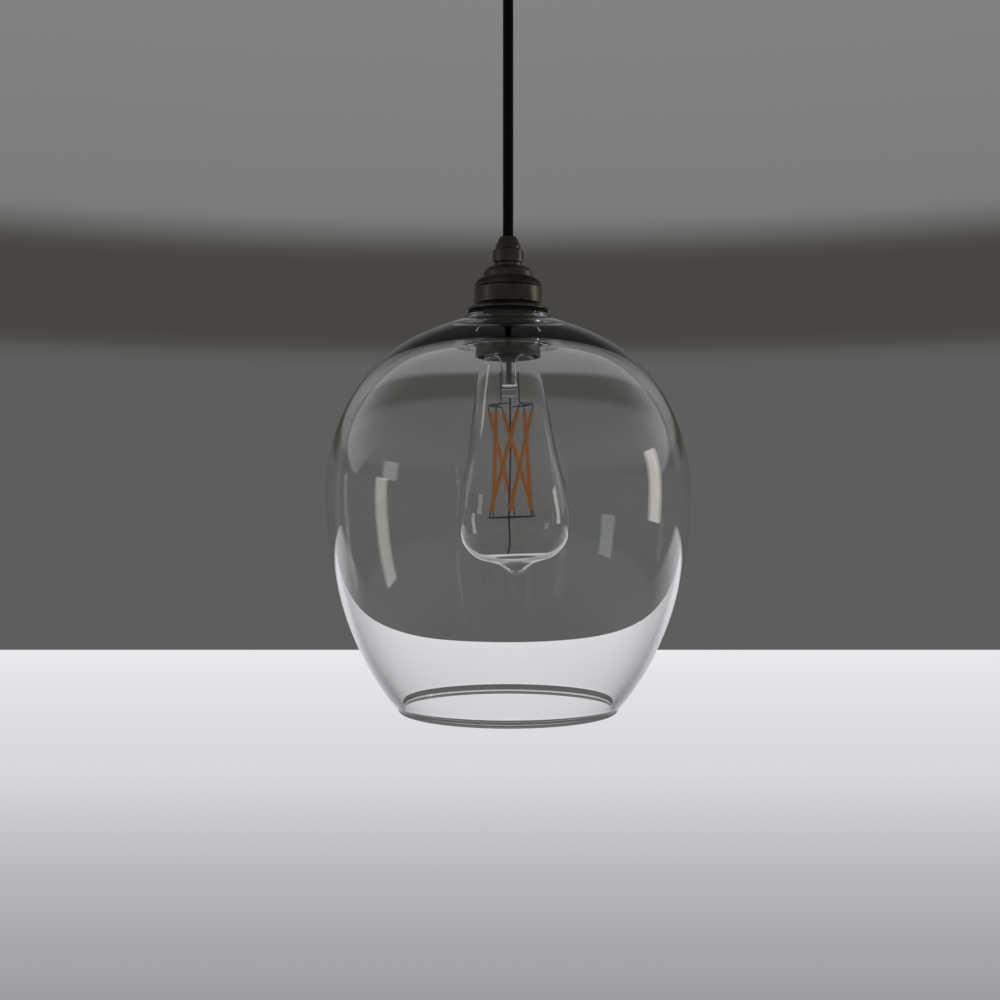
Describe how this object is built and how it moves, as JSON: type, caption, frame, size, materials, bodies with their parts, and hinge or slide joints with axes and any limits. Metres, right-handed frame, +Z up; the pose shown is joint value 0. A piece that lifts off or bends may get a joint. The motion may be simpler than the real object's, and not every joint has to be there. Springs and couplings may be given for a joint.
{
  "type": "pendant ceiling light",
  "caption": "Ceiling pendant: clear glass globe open below, filament bulb, bronze screw lampholder, braided flex and cup-shaped ceiling rose.",
  "frame": {"origin": "middle of the fixing strap's top face, on the ceiling, on the light's axis", "axes": "+Z up, out of the ceiling face; the flex, lampholder and globe hang down -Z; +X along the fixing strap"},
  "size_m": [0.206, 0.206, 0.4524],
  "materials": {
    "bronze": "dark antique bronze, satin",
    "steel": "zinc plated",
    "terminal_brass": "bare brass",
    "nickel": "nickel look, rolled thread",
    "clear_glass": "clear blown glass, fire polished",
    "bulb_glass": "clear thin glass",
    "dark_wire": "dark nickel wire",
    "phosphor": "orange phosphor coat, unlit",
    "ceramic": "glazed",
    "black_insulator": "black",
    "white_plastic": "matte",
    "gasket_rubber": "matte",
    "black_braid": "braided",
    "brown_core": "insulation",
    "blue_core": "insulation",
    "green_core": "insulation",
    "board": "circuit board"
  },
  "bodies": {
    "rose": {"ceiling_bracket": "steel", "rose_cup": "bronze", "rose_side_screw_left": "bronze", "rose_side_screw_right": "bronze", "terminal_block": "white_plastic", "terminal_tube_live": "terminal_brass", "terminal_tube_neutral": "terminal_brass", "terminal_tube_earth": "terminal_brass", "terminal_screw_live": "steel", "terminal_screw_neutral": "steel", "terminal_screw_earth": "steel", "rose_core_live": "brown_core", "rose_core_neutral": "blue_core", "rose_core_earth": "green_core", "rose_grip_body": "bronze", "rose_grip_locknut": "steel", "rose_grip_nut": "bronze"},
    "flex": {"flex_cord": "black_braid"},
    "holder": {"flex_tail": "black_braid", "cord_grip_body": "bronze", "holder_cap": "bronze", "knurled_ring": "bronze", "holder_body": "bronze", "shade_flange_ring": "bronze", "upper_gasket": "gasket_rubber", "socket_insulator": "ceramic", "thread_shell": "terminal_brass", "contact_spring": "steel", "live_terminal_plate": "terminal_brass", "neutral_terminal_plate": "terminal_brass", "live_terminal_screw": "steel", "neutral_terminal_screw": "steel", "earth_terminal": "terminal_brass", "holder_core_live": "brown_core", "holder_core_neutral": "blue_core", "holder_core_earth": "green_core"},
    "grip_collet": {"cord_grip_collet": "black_insulator"},
    "grip_nut": {"cord_grip_nut": "bronze"},
    "contact": {"centre_contact": "terminal_brass"},
    "shade": {"glass_shade": "clear_glass", "lower_washer": "gasket_rubber"},
    "sleeve": {"sleeve_nut": "bronze"},
    "bulb_tip": {"bulb_tip_contact": "nickel"},
    "bulb": {"bulb_envelope": "bulb_glass", "bulb_screw_cap": "nickel", "bulb_cap_insulator": "black_insulator", "bulb_driver": "board", "bulb_stem": "bulb_glass", "electrode_left": "dark_wire", "electrode_right": "dark_wire", "lower_support_ring": "dark_wire", "support_wire": "dark_wire", "filament_1": "phosphor", "filament_2": "phosphor", "filament_3": "phosphor", "filament_4": "phosphor", "filament_5": "phosphor", "filament_6": "phosphor"}
  },
  "joints": [
    {"name": "pendant_swing", "type": "hinge", "parent": "rose", "child": "flex", "pos_m": [0, 0, -0.0428], "axis": [0, 1, 0], "range_deg": [-30, 30], "deforming": ["flex_cord"]},
    {"name": "holder_tilt", "type": "hinge", "parent": "flex", "child": "holder", "pos_m": [0, 0, -0.1834], "axis": [1, 0, 0], "range_deg": [-25, 25]},
    {"name": "grip_nut_turn", "type": "hinge", "parent": "grip_collet", "child": "grip_nut", "pos_m": [0, 0, -0.1834], "axis": [0, 0, 1], "range_deg": [0, 1080]},
    {"name": "collet_travel", "type": "slide", "parent": "holder", "child": "grip_collet", "axis": [0, 0, 1], "range_m": [0, 0.003]},
    {"name": "sleeve_nut_turn", "type": "hinge", "parent": "shade", "child": "sleeve", "pos_m": [0, 0, -0.2274], "axis": [0, 0, -1], "range_deg": [0, 720]},
    {"name": "shade_drop", "type": "slide", "parent": "holder", "child": "shade", "axis": [0, 0, -1], "range_m": [0, 0.004]},
    {"name": "bulb_turn", "type": "hinge", "parent": "bulb_tip", "child": "bulb", "pos_m": [0, 0, -0.241], "axis": [0.0349, 0, -0.9994], "range_deg": [0, 1440]},
    {"name": "bulb_travel", "type": "slide", "parent": "holder", "child": "bulb_tip", "axis": [0.0349, 0, -0.9994], "range_m": [0, 0.01452]},
    {"name": "contact_press", "type": "slide", "parent": "holder", "child": "contact", "axis": [0, 0, 1], "range_m": [0, 0.0012], "stiffness_N_per_m": 300, "deforming": ["contact_spring"]}
  ],
  "couplings": [
    {"joint": "collet_travel", "follows": "grip_nut_turn", "m_per_rad": 0.00015915},
    {"joint": "sleeve_nut_turn", "follows": "shade_drop", "rad_per_m": 3141.6},
    {"joint": "bulb_travel", "follows": "bulb_turn", "m_per_rad": 0.0005777}
  ]
}
